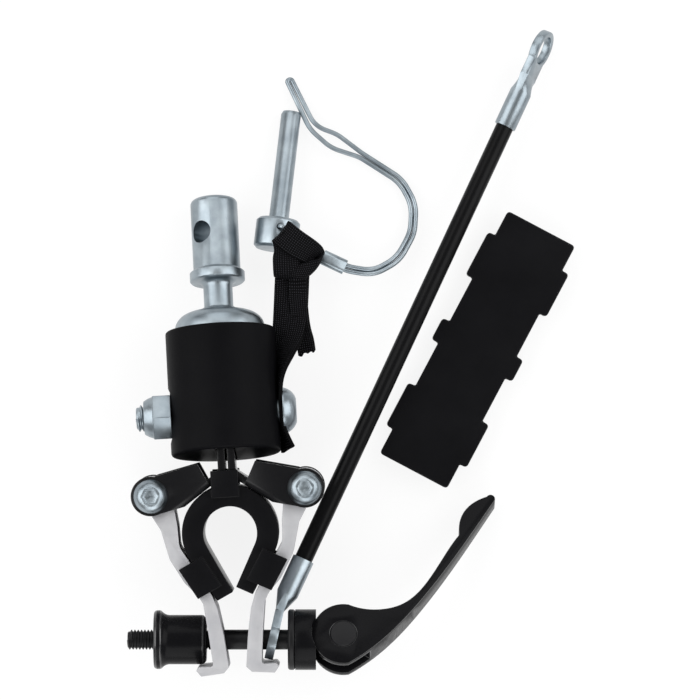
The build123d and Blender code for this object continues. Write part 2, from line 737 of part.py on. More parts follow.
# Lock pin: collar, shaft and a cross hole for the wire
pin_axis = Axis(pin_plane.origin, pin_plane.y_dir)
collar_half = collar_length / 2
with BuildPart() as hitch_pin:
    with BuildSketch(pin_plane):
        with BuildLine():
            Polyline((0, -collar_half), (collar_radius - 0.8, -collar_half),
                     (collar_radius, -collar_half + 0.8),
                     (collar_radius, collar_half - 0.8), (collar_radius - 0.8, collar_half),
                     (pin_radius, collar_half), (pin_radius, collar_half + pin_length - 2 * pin_tip_chamfer),
                     (pin_radius - pin_tip_chamfer, collar_half + pin_length), (0, collar_half + pin_length),
                     close=True)
        make_face()
    revolve(axis=pin_axis)
    with BuildSketch(pin_plane):
        with Locations((0, wire_hole_place)):
            Circle(wire_hole_radius)
    extrude(amount=2 * collar_radius, both=True, mode=Mode.SUBTRACT)
save(hitch_pin, "hitch_pin")

# The wire is one hairpin: both ends sit in the collar's hole, and the strands part once to form an eye
loop_route = [(13.4, -4.6), (22.8, -7.6), (30.5, -7.8), (37.5, -2.6), (40.9, 6.0), (40.4, 14.6),
              (35.6, 21.4), (22.5, 27.6)]
hole_top = collar_radius + 1.3
wire_shoulder = hole_top - 0.7
hole_bend = 0.85
half_gap = wire_gap / 2


def beside(route, side):
    """The route moved sideways by half the gap between the strands."""
    moved = []
    for i, point in enumerate(route):
        before = Vector(*route[max(i - 1, 0)])
        after = Vector(*route[min(i + 1, len(route) - 1)])
        way = (after - before).normalized()
        place = Vector(*point) + Vector(-way.Y, way.X) * (side * half_gap)
        moved.append((place.X, place.Y, 0))
    return moved


outer_strand = beside(loop_route, -1) + [(14.6, 33.0, 0), (7.6, 34.6, 0), (-1.2, 48.0, 0)]
inner_strand = beside(loop_route, 1) + [(13.2, 28.6, 0), (6.2, 33.4, 0), (-2.5, 47.3, 0)]
wire_points = [(0, wire_hole_place, 1.2), (0, wire_hole_place, hole_top), (8.0, -1.8, wire_shoulder)]
wire_points += outer_strand + inner_strand[::-1]
wire_points += [(8.0, -1.8, -wire_shoulder), (0, wire_hole_place, -hole_top), (0, wire_hole_place, -1.2)]
local_points = [pin_plane.from_local_coords(Vector(*p)) for p in wire_points]


def bend_radius(i):
    """A corner's radius: 0.45 of its shorter run, over the tangent of half the turn, up to 12."""
    run_in = local_points[i] - local_points[i - 1]
    run_out = local_points[i + 1] - local_points[i]
    half_turn = radians(run_in.get_angle(run_out)) / 2
    return min(12.0, 0.45 * min(run_in.length, run_out.length) / tan(half_turn))


wire_bends = [bend_radius(i) for i in range(1, len(local_points) - 1)]
wire_bends[0] = hole_bend
wire_bends[-1] = hole_bend
with BuildPart() as pin_wire:
    with BuildLine() as wire_path:
        FilletPolyline(*local_points, radius=wire_bends)
    with BuildSketch(Plane(origin=local_points[0], x_dir=pin_plane.x_dir, z_dir=pin_plane.z_dir)):
        Circle(wire_radius)
    sweep(path=wire_path.wires()[0])
save(pin_wire, "pin_wire")

ferrule_from = Vector(*loop_route[0], 0)
ferrule_to = Vector(*loop_route[1], 0)
ferrule_way = (ferrule_to - ferrule_from).normalized()
ferrule_mid = (ferrule_from + ferrule_to) * 0.5
ferrule_origin = pin_plane.from_local_coords(ferrule_mid - ferrule_way * (0.4 * ferrule_length))
ferrule_world = (pin_plane.from_local_coords(ferrule_mid) - ferrule_origin).normalized()
with BuildPart() as wire_ferrule:
    with BuildSketch(Plane(origin=ferrule_origin, x_dir=ferrule_world.cross(pin_plane.z_dir),
                           z_dir=ferrule_world)):
        SlotOverall(2 * ferrule_radius, 1.3 * ferrule_radius)
        for side in (1, -1):
            with Locations((side * half_gap, 0)):
                Circle(wire_radius + 0.02, mode=Mode.SUBTRACT)
    extrude(amount=0.8 * ferrule_length)
save(wire_ferrule, "wire_ferrule")


# Lanyard: a strap under the cross bolt's head that ends in a knot on the collar and the wire
strap_low = bolt_y - 10.0
strap_turn = bolt_y + 12.0
knot_plane = Plane(origin=pin_plane.from_local_coords(Vector(7.0, -5.0, 1.2)), x_dir=pin_plane.x_dir,
                   z_dir=pin_plane.z_dir)
knot_foot = knot_plane.from_local_coords(Vector(0, 1.5 - knot_height / 2, -1.0))
with BuildPart() as lanyard:
    with BuildSketch(knot_plane):
        RectangleRounded(knot_width, knot_height, knot_width * 0.35)
    extrude(amount=knot_depth / 2, both=True)
    ends = lanyard.edges().filter_by(lambda e: abs(abs(knot_plane.to_local_coords(e.center()).Z)
                                                   - knot_depth / 2) < 0.01)
    fillet(ends, knot_depth * 0.25)
    with BuildSketch(Plane.YZ.offset(strap_face)):
        with Locations(((strap_low + strap_turn) / 2, 0)):
            Rectangle(strap_turn - strap_low, strap_width)
        with Locations((bolt_y, 0)):
            Circle(bolt_radius + 0.2, mode=Mode.SUBTRACT)
    extrude(amount=strap_thickness)
    with BuildSketch(Plane(origin=(strap_face + strap_thickness / 2, strap_turn, 0), x_dir=(1, 0, 0),
                           z_dir=(0, 1, 0))):
        Rectangle(strap_thickness, strap_width)
    with BuildSketch(Plane(origin=knot_foot, x_dir=(1, 0, 0), z_dir=(0, 1, 0))):
        Rectangle(0.8 * strap_width, 0.4 * strap_width)
    loft()
    with BuildSketch(Plane(origin=pin_plane.from_local_coords(Vector(0, -collar_half - knot_room, 0)),
                           x_dir=pin_plane.x_dir, z_dir=pin_plane.y_dir)):
        Circle(collar_radius + knot_room)
    extrude(amount=2 * collar_length, mode=Mode.SUBTRACT)
    for ends in (local_points[1:5], local_points[-5:-1][::-1]):
        for here, there in zip(ends, ends[1:]):
            with BuildSketch(Plane(origin=here, z_dir=there - here)):
                Circle(wire_radius + 2 * knot_room)
            extrude(amount=(there - here).length + knot_room, mode=Mode.SUBTRACT)
save(lanyard, "lanyard")


# Spare liner: a flat strip with tabs along both edges, lying on its tabs
spare_turn = radians(spare_heading)
spare_top = floor_z + spare_height
spare_plane = Plane(origin=(spare_x, spare_y, spare_top), x_dir=(cos(spare_turn), sin(spare_turn), 0),
                    z_dir=(0, 0, 1))
with BuildPart() as spare_liner:
    with BuildSketch(spare_plane):
        Rectangle(spare_length, 2 * liner_half)
    extrude(amount=-spare_thickness)
    with BuildSketch(spare_plane):
        for side in (1, -1):
            tab_y = side * (liner_half + tab_thickness / 2)
            with Locations((-spare_tab_pitch, tab_y), (spare_tab_pitch, tab_y)):
                Rectangle(spare_long_tab, tab_thickness)
            with Locations((0, tab_y)):
                Rectangle(spare_short_tab, tab_thickness)
    extrude(amount=-spare_height)
save(spare_liner, "spare_liner")
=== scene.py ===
import json
import math
import bpy
import bmesh
from mathutils import Matrix, Vector


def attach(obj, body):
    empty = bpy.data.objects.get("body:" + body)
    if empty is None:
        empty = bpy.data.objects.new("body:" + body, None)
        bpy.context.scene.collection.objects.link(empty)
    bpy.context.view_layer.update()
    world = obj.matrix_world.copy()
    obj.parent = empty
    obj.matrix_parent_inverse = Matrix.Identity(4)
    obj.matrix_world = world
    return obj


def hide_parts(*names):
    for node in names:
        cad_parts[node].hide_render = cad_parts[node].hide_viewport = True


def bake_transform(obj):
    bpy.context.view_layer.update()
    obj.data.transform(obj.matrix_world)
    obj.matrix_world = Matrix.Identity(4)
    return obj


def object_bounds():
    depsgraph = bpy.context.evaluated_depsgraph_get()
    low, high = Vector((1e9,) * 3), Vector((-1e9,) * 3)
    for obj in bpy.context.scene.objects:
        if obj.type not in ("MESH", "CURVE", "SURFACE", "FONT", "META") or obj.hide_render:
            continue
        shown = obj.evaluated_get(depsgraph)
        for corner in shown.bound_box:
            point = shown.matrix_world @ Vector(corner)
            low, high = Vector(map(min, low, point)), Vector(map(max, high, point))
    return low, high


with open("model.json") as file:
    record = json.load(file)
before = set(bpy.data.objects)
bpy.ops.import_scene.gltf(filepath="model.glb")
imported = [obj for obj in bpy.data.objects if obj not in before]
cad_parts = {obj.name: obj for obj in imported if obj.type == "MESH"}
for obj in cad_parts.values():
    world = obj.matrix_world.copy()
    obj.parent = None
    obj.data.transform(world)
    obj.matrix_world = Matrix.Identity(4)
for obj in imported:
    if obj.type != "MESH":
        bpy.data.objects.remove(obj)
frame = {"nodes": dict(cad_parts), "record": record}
nodes = frame["nodes"]
cadBox = [list(corner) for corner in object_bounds()]
mm = 0.001
cm = 0.01
slotOf = {row["node"]: row["material_slot"] for row in frame["record"]["subparts"]}
bodies = frame["record"]["behaviour"]["bodies"]
bodyOf = {node: body for body, members in bodies.items() for node in members}
print("frame loaded,", len(nodes), "nodes")


def linearColour(code):  # sRGB hex to the linear colour that Blender wants
    parts = [int(code[i:i + 2], 16) / 255 for i in (1, 3, 5)]
    return [p / 12.92 if p <= 0.04045 else ((p + 0.055) / 1.055) ** 2.4 for p in parts] + [1.0]


def addNode(tree, kind, links=None, **settings):  # one node, its settings and its inputs
    node = tree.nodes.new(kind)
    for name, value in settings.items():
        if hasattr(node, name):
            setattr(node, name, value)
        else:
            node.inputs[name.replace("_", " ")].default_value = value
    for socket, source in (links or {}).items():
        tree.links.new(source, node.inputs[socket])
    return node


def startMaterial(name):
    material = bpy.data.materials.new(name)
    material.use_nodes = True
    tree = material.node_tree
    return material, tree, tree.nodes["Principled BSDF"]


def setSockets(shader, **values):
    for name, value in values.items():
        shader.inputs[name.replace("_", " ")].default_value = value


def feed(tree, shader, **sources):  # joins outputs of other nodes to the shader's sockets
    for name, source in sources.items():
        tree.links.new(source, shader.inputs[name.replace("_", " ")])


def objectPlace(tree):
    return addNode(tree, "ShaderNodeTexCoord").outputs["Object"]


def noiseOf(tree, place, size, detail):  # blotches about size mm across
    return addNode(tree, "ShaderNodeTexNoise", {"Vector": place}, Scale=1.0 / (size * mm), Detail=detail).outputs["Fac"]


def toneOf(tree, factor, tones, stops=(0.3, 0.7)):  # a ramp between two sRGB colours
    ramp = addNode(tree, "ShaderNodeValToRGB", {"Fac": factor})
    for element, tone, stop in zip(ramp.color_ramp.elements, tones, stops):
        element.position = stop
        element.color = linearColour(tone)
    return ramp.outputs["Color"]


def glossOf(tree, factor, rough):  # roughness between two values
    return addNode(tree, "ShaderNodeMapRange", {"Value": factor}, To_Min=rough[0], To_Max=rough[1]).outputs["Result"]


def bumpOf(tree, height, strength, depth):  # depth in mm
    return addNode(tree, "ShaderNodeBump", {"Height": height}, Strength=strength, Distance=depth * mm).outputs["Normal"]


# finishes
def zincPlate(name, turned=0.0):
    # bright zinc on steel: cool grey, soft mottled gloss, pale blue passivation; a turned face shines in rings
    material, tree, shader = startMaterial(name)
    place = objectPlace(tree)
    cloud = noiseOf(tree, place, 6.25, 4.0)
    grit = noiseOf(tree, place, 0.5556, 3.0)
    feed(tree, shader,
         Base_Color=toneOf(tree, cloud, ("#848E95", "#A1ABB1"), (0.32, 0.68)),
         Roughness=glossOf(tree, grit, (0.27, 0.41)),
         Normal=bumpOf(tree, grit, 0.16, 0.06))
    setSockets(shader, Metallic=1.0, Anisotropic=turned)
    if turned:
        spin = addNode(tree, "ShaderNodeTangent", direction_type="RADIAL", axis="Z")
        feed(tree, shader, Tangent=spin.outputs["Tangent"])
    return material


def blackFinish(name, tones, grain, depth, rough, shine):
    # a moulded or coated black: two close blacks, and a fine grain in the gloss and the bump
    material, tree, shader = startMaterial(name)
    place = objectPlace(tree)
    cloud = noiseOf(tree, place, 11.11, 3.0)
    fine = noiseOf(tree, place, grain, 2.0)
    feed(tree, shader,
         Base_Color=toneOf(tree, cloud, tones),
         Roughness=glossOf(tree, fine, rough),
         Normal=bumpOf(tree, fine, 0.35, depth))
    setSockets(shader, IOR=1.5, Specular_IOR_Level=shine)
    return material


def sawnAluminium():  # extruded and sawn, then tumbled: pale, matt, faint saw lines across the cut
    material, tree, shader = startMaterial("sawnAluminium")
    place = objectPlace(tree)
    sawLine = (300.0, 2400.0, 60.0)  # lines 0.4 mm apart and 3 mm long, through the whole depth
    stretch = addNode(tree, "ShaderNodeMapping", {"Vector": place}, Scale=sawLine).outputs["Vector"]
    lines = addNode(tree, "ShaderNodeTexNoise", {"Vector": stretch}, Scale=1.0, Detail=3.0).outputs["Fac"]
    cloud = noiseOf(tree, place, 4.545, 3.0)
    feed(tree, shader,
         Base_Color=toneOf(tree, cloud, ("#A5A5A8", "#B0B0B2")),
         Roughness=glossOf(tree, lines, (0.42, 0.62)),
         Normal=bumpOf(tree, lines, 0.12, 0.05))
    setSockets(shader, Metallic=0.35, Specular_IOR_Level=0.3)
    return material


def wovenPolyester():  # black plain-weave tape: ribs across the width, fine threads along it
    material, tree, shader = startMaterial("wovenPolyester")
    where = addNode(tree, "ShaderNodeUVMap", uv_map="UVMap").outputs["UV"]
    threadWidth = 0.7 * mm / cm  # the tape's UV map counts in centimetres
    bandScale = math.pi / 10 / threadWidth  # a wave node's band is pi / 10 long at scale 1
    ribs, threads = [
        addNode(tree, "ShaderNodeTexWave", {"Vector": where}, wave_type="BANDS", bands_direction=way,
                Scale=bandScale, Distortion=1.6, Detail=2.0).outputs["Fac"]
        for way in ("Y", "X")]
    weave = addNode(tree, "ShaderNodeMath", {0: ribs, 1: threads}, operation="MULTIPLY").outputs["Value"]
    feed(tree, shader,
         Base_Color=toneOf(tree, weave, ("#050506", "#3A3A3E"), (0.45, 0.98)),
         Normal=bumpOf(tree, weave, 0.7, 0.3))
    setSockets(shader, Roughness=0.75, Specular_IOR_Level=0.06)
    return material


def naturalNylon():  # cast nylon insert: milky, slightly waxy
    material, tree, shader = startMaterial("naturalNylon")
    cloud = noiseOf(tree, objectPlace(tree), 1.4286, 2.0)
    feed(tree, shader, Base_Color=toneOf(tree, cloud, ("#C9C7BE", "#DAD8D0"), (0.0, 1.0)))
    setSockets(shader, Roughness=0.45, IOR=1.53)
    return material


mouldedBlack = ("#0A0A0C", "#0E0E10")
# painted highlight: a lighter black for the edge faces of the hard black pieces
edgeHighlightBlack = ("#101012", "#141416")
finishes = {  # the black ones: tones, grain in mm, its depth in mm, roughness, shine
    "zinc": zincPlate("zincPlate"),
    "black_metal": blackFinish("powderCoat", ("#09090B", "#0C0C0E"), 0.6, 0.04, (0.42, 0.54), 0.04),
    "black_sheet": blackFinish("eCoat", mouldedBlack, 0.9, 0.008, (0.2, 0.28), 0.25),
    "black_plastic": blackFinish("mouldedNylon", mouldedBlack, 0.9, 0.008, (0.24, 0.32), 0.08),
    "rubber": blackFinish("mouldedRubber", mouldedBlack, 0.9, 0.01, (0.26, 0.36), 0.1),
    "black_steel": blackFinish("blackOxide", ("#101011", "#161618"), 0.3, 0.03, (0.34, 0.46), 0.2),
    "sheath": blackFinish("vinylJacket", ("#09090A", "#0C0C0D"), 2.0, 0.004, (0.28, 0.34), 0.1),
    "bare_aluminium": sawnAluminium(),
    "webbing": wovenPolyester(),
    "nylon": naturalNylon(),
}
rimFinishes = {  # on their broken edges hard black pieces get a lighter black, a painted highlight, and a smoother, shinier coat that really reflects, which draws their outline
    "black_metal": blackFinish("powderCoatRim", edgeHighlightBlack, 0.9, 0.004, (0.22, 0.3), 0.7),
    "black_sheet": blackFinish("eCoatRim", edgeHighlightBlack, 0.9, 0.004, (0.16, 0.24), 1.0),
    "black_plastic": blackFinish("mouldedNylonRim", edgeHighlightBlack, 0.9, 0.004, (0.2, 0.28), 0.9),
}
turnedZinc = zincPlate("turnedZincPlate", turned=0.8)
print("finishes ready")


def clearSelection():
    if bpy.context.object and bpy.context.object.mode != "OBJECT":
        bpy.ops.object.mode_set(mode="OBJECT")
    bpy.ops.object.select_all(action="DESELECT")


def makeActive(piece):
    clearSelection()
    piece.select_set(True)
    bpy.context.view_layer.objects.active = piece


def editAll(piece):  # into edit mode with the whole mesh selected
    makeActive(piece)
    bpy.ops.object.mode_set(mode="EDIT")
    bpy.ops.mesh.select_all(action="SELECT")


def applyModifier(piece, kind, **settings):
    makeActive(piece)
    modifier = piece.modifiers.new(kind.title(), kind)
    for name, value in settings.items():
        setattr(modifier, name, value)
    bpy.ops.object.modifier_apply(modifier=modifier.name)


def setFinish(piece, slot, withRim=False):
    piece.data.materials.clear()
    piece.data.materials.append(finishes[slot])
    if withRim:
        piece.data.materials.append(rimFinishes[slot])


def smoothFaces(piece, angle=35):
    makeActive(piece)
    bpy.ops.object.shade_smooth_by_angle(angle=math.radians(angle))


def standFor(piece, node):  # the piece goes with the solid's body and hides it
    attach(piece, bodyOf[node])
    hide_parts(node)


def mergedCopy(node, name):  # a copy of a solid with its loose triangles joined up
    piece = bpy.data.objects.new(name, nodes[node].data.copy())
    bpy.context.scene.collection.objects.link(piece)
    editAll(piece)
    bpy.ops.mesh.remove_doubles(threshold=0.004 * mm)
    bpy.ops.mesh.customdata_custom_splitnormals_clear()
    bpy.ops.mesh.dissolve_limited(angle_limit=math.radians(0.6))
    bpy.ops.object.mode_set(mode="OBJECT")
    return piece


sharpAngle = math.radians(38)


def breakEdges(piece, width, segments, finishIndex=-1):  # -1 leaves each face its finish
    applyModifier(piece, "BEVEL", width=width * mm, segments=segments, limit_method="ANGLE",
                  angle_limit=sharpAngle, use_clamp_overlap=True, material=finishIndex)


def roundCorners(piece, edge, corner):  # a flat piece's outline has rounder corners than its edges
    upright = 0.95
    mesh = bmesh.new()
    mesh.from_mesh(piece.data)
    weights = mesh.edges.layers.float.new("bevel_weight_edge")
    for line in mesh.edges:
        way = (line.verts[1].co - line.verts[0].co).normalized()
        standing = line.is_convex and abs(way.z) > upright
        if line.calc_face_angle(0.0) > sharpAngle:
            line[weights] = 1.0 if standing else edge / corner
    mesh.to_mesh(piece.data)
    mesh.free()
    applyModifier(piece, "BEVEL", width=corner * mm, segments=4, limit_method="WEIGHT", use_clamp_overlap=True)


# hard pieces
brokenEdges = {
    "housing": 0.25, "ball_stud": 0.25, "dome_cap": 0.2, "cross_bolt": 0.2, "cross_nut": 0.35,
    "yoke_left": 0.5, "yoke_right": 0.5, "pivot_screw_left": 0.2, "pivot_screw_right": 0.2,
    "pivot_nut_left": 0.3, "pivot_nut_right": 0.3, "arm_left": 0.25, "arm_right": 0.25,
    "qr_nut": 0.3, "cam_saddle": 0.5, "qr_lever": 0.7, "lever_pin": 0.2, "flat_washer": 0.2,
    "cable_eye_lower": 0.35, "cable_eye_upper": 0.35, "hitch_pin": 0.2, "wire_ferrule": 0.25,
    "spare_liner": 0.45,
}
cornerRadii = {"spare_liner": 1.1}


def dress(node, edge):  # the solid with its sharp edges broken, as a real piece has
    piece = mergedCopy(node, "dressed_" + node)
    rimmed = slotOf[node] in rimFinishes
    setFinish(piece, slotOf[node], rimmed)
    if node in cornerRadii:
        roundCorners(piece, edge, cornerRadii[node])
    else:
        breakEdges(piece, edge, 2, 1 if rimmed else -1)
    smoothFaces(piece)
    standFor(piece, node)
    return piece


dressed = {node: dress(node, edge) for node, edge in brokenEdges.items()}
for node in ("pivot_screw_left", "pivot_screw_right"):
    dressed[node].data.materials[0] = turnedZinc
for node in ("lock_ring", "ball_liner", "retaining_ring", "pin_wire"):
    piece = mergedCopy(node, "dressed_" + node)
    smoothFaces(piece, 40)
    setFinish(piece, slotOf[node])
    standFor(piece, node)
print("hard pieces dressed")


# skewer rod, and the thread on the cross bolt's tail; both lie along x and are then moved to their start
boltTail = {
    "start": Vector((0.0, 35.5, 0.0)), "lean": 0.0,
    "left": -26.5, "right": -22.0, "radius": 4.0, "threadEnd": -22.6, "pitch": 1.25, "depth": 0.7,
}
skewer = {
    "start": Vector((0.9, -32.4, 0.0)), "lean": math.radians(-3.2),
    "left": -33.8, "right": 33.0, "radius": 3.0, "threadEnd": -9.0, "pitch": 1.0, "depth": 0.55,
}
thread = {  # the tooth's rows: share of the pitch, share of the depth
    "tooth": [(0.0, 0.0), (0.12, 0.0), (0.44, 1.0), (0.62, 1.0), (0.94, 0.0), (1.0, 0.0)],
    "steps": 28, "sides": 48, "coreInset": 0.1, "coreEdge": 0.5, "shankLap": 0.4, "shankEdge": 0.3,
}


def barAlongX(left, right, radius, edge, segments):
    bpy.ops.mesh.primitive_cylinder_add(
        vertices=thread["sides"], radius=radius * mm, depth=(right - left) * mm,
        rotation=(0, math.pi / 2, 0), location=((left + right) / 2 * mm, 0, 0))
    bar = bpy.context.object
    applyModifier(bar, "BEVEL", width=edge * mm, segments=segments, limit_method="ANGLE")
    return bar


def threadedRod(data, name):  # a rolled thread from a spun tooth, then a plain shank
    pitch = data["pitch"]
    turns = int((data["threadEnd"] - data["left"]) / pitch)
    run = turns * pitch
    root = data["radius"] - data["depth"]
    clearSelection()
    bpy.ops.mesh.primitive_plane_add(size=mm)
    rod = bpy.context.object
    rod.name = name
    editAll(rod)
    shape = bmesh.from_edit_mesh(rod.data)
    bmesh.ops.delete(shape, geom=shape.verts[:], context="VERTS")
    points = [shape.verts.new((along * pitch * mm, 0, (root + out * data["depth"]) * mm))
              for along, out in thread["tooth"]]
    for here, there in zip(points, points[1:]):
        shape.edges.new((here, there))
    bmesh.update_edit_mesh(rod.data)
    bpy.ops.object.mode_set(mode="OBJECT")
    applyModifier(rod, "SCREW", axis="X", steps=thread["steps"], render_steps=thread["steps"],
                  screw_offset=pitch * mm, iterations=turns, use_merge_vertices=True,
                  merge_threshold=0.002 * mm, use_normal_calculate=True)
    rod.data.transform(Matrix.Translation((data["left"] * mm, 0, 0)))
    coreStart = data["left"] + thread["coreInset"]
    core = barAlongX(coreStart, coreStart + run + pitch, root, thread["coreEdge"], 3)
    shankStart = data["left"] + run + thread["shankLap"] * pitch
    shank = barAlongX(shankStart, data["right"], data["radius"], thread["shankEdge"], 2)
    makeActive(rod)
    core.select_set(True)
    shank.select_set(True)
    bpy.ops.object.transform_apply(location=True, rotation=True, scale=True)
    bpy.ops.object.join()
    rod.data.transform(Matrix.Translation(data["start"] * mm) @ Matrix.Rotation(data["lean"], 4, "Z"))
    smoothFaces(rod, 30)
    return rod


skewerRod = threadedRod(skewer, "skewerRod")
setFinish(skewerRod, slotOf["qr_rod"])
standFor(skewerRod, "qr_rod")
editAll(dressed["cross_bolt"])
bpy.ops.mesh.bisect(plane_co=(boltTail["right"] * mm, 0, 0), plane_no=(1, 0, 0), clear_inner=True, use_fill=True)
bpy.ops.object.mode_set(mode="OBJECT")
boltThread = threadedRod(boltTail, "boltThread")
setFinish(boltThread, slotOf["cross_bolt"])
standFor(boltThread, "cross_bolt")
print("skewer rod and bolt tail threaded")


# clamp liner: one half for each arm, cut into rows
liner = {"edge": 0.5, "cuts": 9, "cutFrom": 2.0, "cutTo": -16.0, "bendFrom": 3.0, "bendTo": -9.0}
cutStep = (liner["cutTo"] - liner["cutFrom"]) / (liner["cuts"] - 1)
for side, arm in ((-1, "left_arm"), (1, "right_arm")):
    half = mergedCopy("clamp_liner", "linerHalf_" + arm)
    breakEdges(half, liner["edge"], 3)
    editAll(half)
    bpy.ops.mesh.bisect(plane_co=(0, 0, 0), plane_no=(side, 0, 0), clear_inner=True, use_fill=True)
    for cut in range(liner["cuts"]):
        level = liner["cutFrom"] + cutStep * cut
        bpy.ops.mesh.select_all(action="SELECT")
        bpy.ops.mesh.bisect(plane_co=(0, level * mm, 0), plane_no=(0, 1, 0))
    bpy.ops.object.mode_set(mode="OBJECT")
    smoothFaces(half)
    setFinish(half, "rubber")
    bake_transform(half)
    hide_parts("clamp_liner")
print("clamp liner halved")


def smoothLine(name, places, resolution):  # a curve through the first and last place, drawn by those between
    line = bpy.data.curves.new(name, "CURVE")
    line.dimensions = "3D"
    line.resolution_u = resolution
    spline = line.splines.new("NURBS")
    spline.points.add(len(places) - 1)
    for point, place in zip(spline.points, places):
        point.co = (place * mm).to_4d()
    spline.order_u = 3
    spline.use_endpoint_u = True
    piece = bpy.data.objects.new(name, line)
    bpy.context.scene.collection.objects.link(piece)
    return piece


# safety cable
cable = {"eyeOnRod": 9.9, "flatHeading": 74.0, "heading": 61.8, "length": 196.0, "fall": 14.0,
         "neck": 9.0, "crimp": 17.0, "radius": 2.7, "spans": 5}


def heading(angle, drop):
    turn = math.radians(angle)
    return Vector((math.cos(turn) * math.cos(drop), math.sin(turn) * math.cos(drop), -math.sin(drop)))


drop = math.asin(cable["fall"] / cable["length"])
cableWay = heading(cable["heading"], drop)
eye = skewer["start"] + Vector((math.cos(skewer["lean"]), math.sin(skewer["lean"]), 0.0)) * cable["eyeOnRod"]
bend = eye + heading(cable["flatHeading"], drop) * cable["neck"]
sheathStart = bend + cableWay * cable["crimp"]
sheathLength = cable["length"] - 2 * (cable["neck"] + cable["crimp"])
sheathPlaces = [sheathStart + cableWay * (sheathLength * i / cable["spans"]) for i in range(cable["spans"] + 1)]
cableJacket = smoothLine("cableJacket", sheathPlaces, 12)
cableJacket.data.bevel_depth = cable["radius"] * mm
cableJacket.data.bevel_resolution = 6
cableJacket.data.use_fill_caps = True
setFinish(cableJacket, slotOf["cable_sheath"])
standFor(cableJacket, "cable_sheath")
print("cable laid")


# lanyard: one tape, drawn as a strap, its frayed tail and the knot's wraps
webbing = {"width": 10.5, "thickness": 1.1, "tailWidth": 5.6, "tailThickness": 1.0, "wrapWidth": 8.0,
           "tuckWidth": 5.4, "columns": 9, "edgeShare": 0.2, "frayFrom": 0.94, "bendFrom": 66.0, "bendTo": 90.0}


def tieOn(piece):  # gives the tape its webbing finish and bakes its place into its mesh
    setFinish(piece, "webbing")
    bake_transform(piece)


def tapeEdge(route, half):  # the points of one edge of a tape; half is below 0 for its left edge
    places = [Vector(place) + Vector(way).normalized() * (half * (share[0] if share else 1.0))
              for place, way, *share in route]
    guide = smoothLine("guide", places, 24)
    bpy.context.view_layer.update()
    mesh = bpy.data.meshes.new_from_object(guide.evaluated_get(bpy.context.evaluated_depsgraph_get()))
    bpy.data.objects.remove(guide)
    return [vertex.co.copy() for vertex in mesh.vertices]


def ribbonAlong(name, route, width, thickness, rows=90, crown=0.0, frayed=0.0):
    # a woven tape: a grid bent along a smooth line; a route row is a point, the way its width lies
    # and, where the tape is gathered, the share of its width that is left
    left = tapeEdge(route, -width / 2)
    right = tapeEdge(route, width / 2)
    length = sum((b - a).length for edge in (left, right) for a, b in zip(edge, edge[1:])) / 2
    clearSelection()
    bpy.ops.mesh.primitive_grid_add(x_subdivisions=webbing["columns"], y_subdivisions=rows, size=1.0)
    tape = bpy.context.object
    tape.name = name
    for vertex in tape.data.vertices:
        u, v = vertex.co.x + 0.5, vertex.co.y + 0.5
        spot = v * (len(left) - 1)
        i = min(int(spot), len(left) - 2)
        a = left[i].lerp(left[i + 1], spot - i)
        b = right[i].lerp(right[i + 1], spot - i)
        lane = (b - a).normalized()
        ahead = (left[i + 1] + right[i + 1] - left[i] - right[i]).normalized()
        face = lane.cross(ahead).normalized()
        lift = crown * mm * (1 - (2 * u - 1) ** 2)
        uneven = 0.5 + 0.5 * math.sin(37.0 * u + 3.0 * math.sin(61.0 * u))  # loose threads of unlike lengths
        torn = frayed * mm * uneven * max(0.0, (v - webbing["frayFrom"]) / (1.0 - webbing["frayFrom"]))
        vertex.co = (a + b) / 2 + lane * ((u - 0.5) * (b - a).length) + face * lift - ahead * torn
    for loop in tape.data.uv_layers[0].data:  # centimetres across and along, so the weave keeps its size
        loop.uv = (loop.uv[0] * width * mm / cm, loop.uv[1] * length / cm)
    tape.data.uv_layers[0].name = "UVMap"
    applyModifier(tape, "SOLIDIFY", thickness=thickness * mm, offset=0.0)
    applyModifier(tape, "BEVEL", width=webbing["edgeShare"] * thickness * mm, segments=2, limit_method="ANGLE",
                  angle_limit=math.radians(50))
    smoothFaces(tape, 50)
    tieOn(tape)
    return tape, length


strapRoute = [
    ((18.6, 23.6, 1.0), (0.5, 0.25, 0.83), 0.7), ((17.6, 27.4, 0.6), (0.25, 0.1, 0.96), 0.9),
    ((17.1, 33.0, 0.0), (0.0, 0.0, 1.0)),
    ((17.1, 40.0, 0.0), (0.0, 0.0, 1.0)), ((17.5, 46.5, -0.2), (0.12, 0.0, 1.0)),
    ((18.8, 52.0, -1.6), (0.55, 0.0, 0.84)), ((20.3, 57.0, -4.2), (0.93, 0.05, 0.4)),
    ((21.3, 63.0, -7.0), (1.0, 0.06, 0.12)), ((21.9, 69.0, -8.6), (1.0, 0.05, 0.0)),
    ((22.4, 75.0, -9.4), (1.0, 0.04, -0.1)), ((23.0, 80.0, -9.0), (1.0, 0.0, -0.15)),
]
tailRoute = [
    ((24.4, 79.0, -7.0), (1.0, 0.1, 0.1)), ((23.9, 72.0, -7.2), (0.98, -0.1, 0.15)),
    ((24.0, 66.0, -6.4), (0.97, -0.1, 0.2)), ((24.4, 60.0, -5.2), (0.95, -0.05, 0.3)),
    ((25.4, 56.0, -5.4), (0.95, 0.05, 0.3)), ((25.7, 51.6, -6.6), (0.95, 0.2, 0.3)),
]
riseRoute = [  # the wrap that climbs the knot's left side up to the slanted fold beside the collar
    ((21.2, 77.6, -11.4), (1.0, -0.1, 0.0), 0.95), ((21.1, 75.4, -8.6), (1.0, -0.12, 0.0)),
    ((21.0, 76.6, -5.4), (1.0, -0.1, 0.0)), ((21.0, 79.4, -4.6), (1.0, -0.02, 0.0)),
    ((21.1, 82.5, -4.2), (0.98, 0.1, 0.0)), ((21.0, 86.4, -3.5), (0.8, 0.6, 0.0)),
    ((20.0, 89.2, -3.3), (0.68, 0.73, 0.0)),
]
